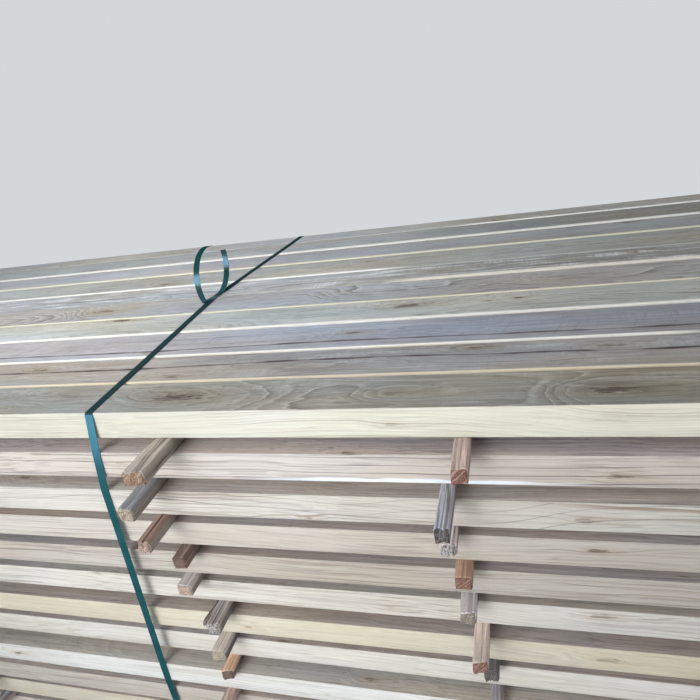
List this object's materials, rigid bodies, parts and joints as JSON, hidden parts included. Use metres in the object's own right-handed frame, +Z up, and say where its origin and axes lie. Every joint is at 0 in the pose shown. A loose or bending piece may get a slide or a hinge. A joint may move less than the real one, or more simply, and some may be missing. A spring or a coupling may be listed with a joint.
{
  "type": "stack of lumber",
  "caption": "Strapped pack of thick rough-sawn boards in courses, kept apart by rows of loose sticks that stand out at front and back.",
  "frame": {"origin": "on the floor under the middle of the pack", "axes": "+X along the boards to the right as seen from the front, +Y from the front to the back, +Z up"},
  "size_m": [3.658, 1.41, 1.1422],
  "materials": {
    "boards": "rough-sawn hardwood, weathered grey-brown on the wide faces, cream on the edges",
    "sticks": "weathered sawn sticks, grey to reddish brown",
    "strap": "glossy dark teal polyester strapping"
  },
  "bodies": {
    "root": {"course_01": "boards", "course_02": "boards", "course_03": "boards", "course_04": "boards", "course_05": "boards", "course_06": "boards", "course_07": "boards", "course_08": "boards", "course_09": "boards", "course_10": "boards", "course_11": "boards", "course_12": "boards", "course_13": "boards", "stick_column_1": "sticks", "stick_column_2": "sticks", "stick_column_3": "sticks", "stick_column_4": "sticks", "stick_column_5": "sticks", "stick_column_6": "sticks", "stick_column_7": "sticks", "strap_left": "strap", "strap_middle": "strap", "strap_right": "strap"}
  },
  "joints": []
}
